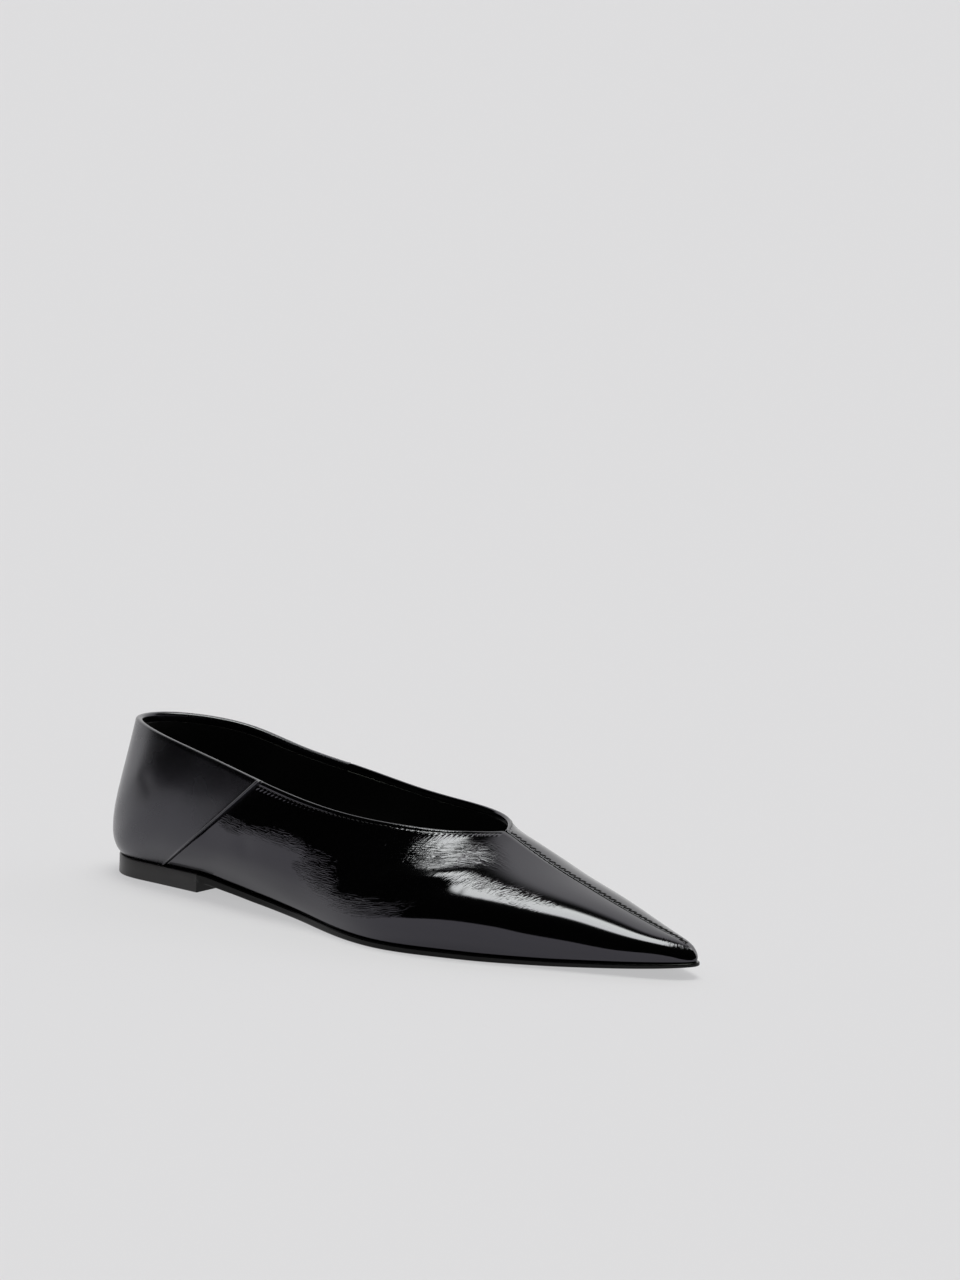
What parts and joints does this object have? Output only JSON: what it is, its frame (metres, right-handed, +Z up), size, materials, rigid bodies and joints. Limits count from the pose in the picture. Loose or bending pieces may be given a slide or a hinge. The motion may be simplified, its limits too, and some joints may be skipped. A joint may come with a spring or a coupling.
{
  "type": "pointed toe flat shoe",
  "caption": "Slip-on pointed toe flat shoe in glossy black leather with a thin sole, low heel block, centre seam on the vamp and a smooth back panel.",
  "frame": {"origin": "on the floor, under the middle of the shoe's box", "axes": "+X from the heel to the toe, +Y to the inner side of the foot, +Z up"},
  "size_m": [0.2732, 0.0818, 0.0626],
  "materials": {
    "front_leather": "high gloss, finely creased",
    "quarter_leather": "semi-gloss, smooth",
    "sole_leather": "satin, edge inked black",
    "heel_leather": "satin",
    "insole_leather": "matt"
  },
  "bodies": {
    "root": {"outsole": "sole_leather", "heel": "heel_leather", "insole": "insole_leather", "upper": "front_leather", "back_quarter": "quarter_leather"}
  },
  "joints": []
}
